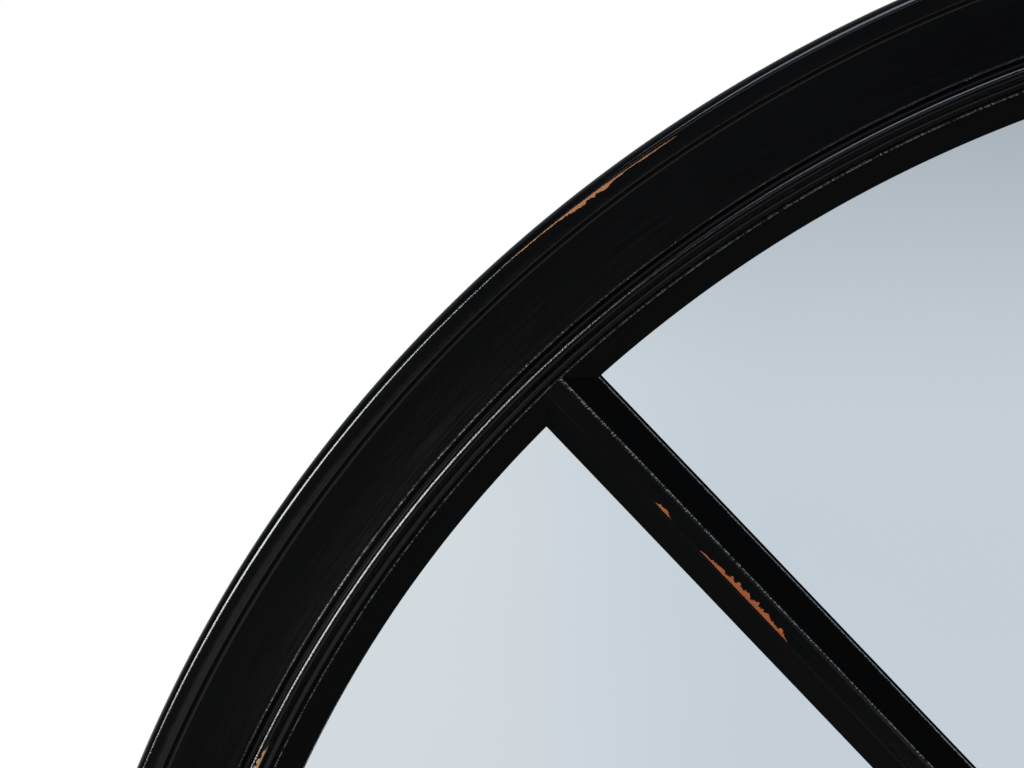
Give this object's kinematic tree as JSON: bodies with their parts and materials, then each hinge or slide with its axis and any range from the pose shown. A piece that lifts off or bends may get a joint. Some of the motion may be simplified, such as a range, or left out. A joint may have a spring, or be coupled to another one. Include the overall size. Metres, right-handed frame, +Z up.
{
  "type": "arched window mirror",
  "caption": "Round-headed wall mirror with a moulded black frame and glazing bars like a window's, a backing board, turn buttons and hanging rings.",
  "frame": {"origin": "on the wall plane, midway between the two points where the hanging rings sit on their wall hooks", "axes": "+Z up; the mirror faces -Y and the wall is the plane Y = 0; +X to the right of someone who looks into the mirror"},
  "size_m": [0.914, 0.0309, 1.372],
  "materials": {
    "moulding_black": "black semi-gloss paint over wood, rubbed through to tan wood on the corners",
    "sash_black": "black semi-gloss paint over wood, rubbed through to tan wood on the corners",
    "tenon_wood": "bare beech",
    "mirror_plate": "silvered float glass, 4 mm",
    "backing_board": "bare hardboard",
    "plated_steel": "zinc plated",
    "pad_rubber": "moulded rubber"
  },
  "bodies": {
    "mirror": {"arch_segment_lower_right": "moulding_black", "arch_segment_upper_right": "moulding_black", "arch_segment_upper_left": "moulding_black", "arch_segment_lower_left": "moulding_black", "stile_left": "moulding_black", "stile_right": "moulding_black", "bottom_rail": "moulding_black", "lining_strip_lower_right": "sash_black", "lining_strip_upper_right": "sash_black", "lining_strip_upper_left": "sash_black", "lining_strip_lower_left": "sash_black", "lining_strip_left": "sash_black", "lining_strip_right": "sash_black", "lining_strip_bottom": "sash_black", "upright_bar": "sash_black", "spring_bar_left": "sash_black", "spring_bar_right": "sash_black", "mid_bar_left": "sash_black", "mid_bar_right": "sash_black", "radial_bar_left": "sash_black", "radial_bar_right": "sash_black", "tenon_spring_right": "tenon_wood", "tenon_shoulder_right": "tenon_wood", "tenon_crown": "tenon_wood", "tenon_shoulder_left": "tenon_wood", "tenon_spring_left": "tenon_wood", "tenon_corner_left": "tenon_wood", "tenon_corner_right": "tenon_wood", "mirror_glass": "mirror_plate", "backing_board": "backing_board", "turn_button_screw_1": "plated_steel", "turn_button_screw_2": "plated_steel", "turn_button_screw_3": "plated_steel", "turn_button_screw_4": "plated_steel", "turn_button_screw_5": "plated_steel", "turn_button_screw_6": "plated_steel", "turn_button_screw_7": "plated_steel", "turn_button_screw_8": "plated_steel", "hanger_strap_left": "plated_steel", "hanger_strap_right": "plated_steel", "hanger_screw_left_upper": "plated_steel", "hanger_screw_left_lower": "plated_steel", "hanger_screw_right_upper": "plated_steel", "hanger_screw_right_lower": "plated_steel", "wall_pad_lower_left": "pad_rubber", "wall_pad_lower_right": "pad_rubber", "wall_pad_upper_left": "pad_rubber", "wall_pad_upper_right": "pad_rubber"},
    "button_1": {"turn_button_1": "plated_steel"},
    "button_2": {"turn_button_2": "plated_steel"},
    "button_3": {"turn_button_3": "plated_steel"},
    "button_4": {"turn_button_4": "plated_steel"},
    "button_5": {"turn_button_5": "plated_steel"},
    "button_6": {"turn_button_6": "plated_steel"},
    "button_7": {"turn_button_7": "plated_steel"},
    "button_8": {"turn_button_8": "plated_steel"},
    "ring_left": {"hanger_ring_left": "plated_steel"},
    "ring_right": {"hanger_ring_right": "plated_steel"}
  },
  "joints": [
    {"name": "button_1_turn", "type": "hinge", "parent": "mirror", "child": "button_1", "pos_m": [-0.2285, -0.00495, -0.846], "axis": [0, 1, 0], "continuous": true},
    {"name": "button_2_turn", "type": "hinge", "parent": "mirror", "child": "button_2", "pos_m": [0.2285, -0.00495, -0.846], "axis": [0, 1, 0], "continuous": true},
    {"name": "button_3_turn", "type": "hinge", "parent": "mirror", "child": "button_3", "pos_m": [-0.442, -0.00495, -0.63225], "axis": [0, 1, 0], "continuous": true},
    {"name": "button_4_turn", "type": "hinge", "parent": "mirror", "child": "button_4", "pos_m": [-0.442, -0.00495, -0.17475], "axis": [0, 1, 0], "continuous": true},
    {"name": "button_5_turn", "type": "hinge", "parent": "mirror", "child": "button_5", "pos_m": [0.442, -0.00495, -0.63225], "axis": [0, 1, 0], "continuous": true},
    {"name": "button_6_turn", "type": "hinge", "parent": "mirror", "child": "button_6", "pos_m": [0.442, -0.00495, -0.17475], "axis": [0, 1, 0], "continuous": true},
    {"name": "button_7_turn", "type": "hinge", "parent": "mirror", "child": "button_7", "pos_m": [-0.23422, -0.00495, 0.42884], "axis": [0, 1, 0], "continuous": true},
    {"name": "button_8_turn", "type": "hinge", "parent": "mirror", "child": "button_8", "pos_m": [0.23422, -0.00495, 0.42884], "axis": [0, 1, 0], "continuous": true},
    {"name": "ring_left_swing", "type": "hinge", "parent": "mirror", "child": "ring_left", "pos_m": [-0.442, -0.0032, -0.016], "axis": [-1, 0, 0], "range_deg": [0, 180]},
    {"name": "ring_right_swing", "type": "hinge", "parent": "mirror", "child": "ring_right", "pos_m": [0.442, -0.0032, -0.016], "axis": [-1, 0, 0], "range_deg": [0, 180]}
  ]
}
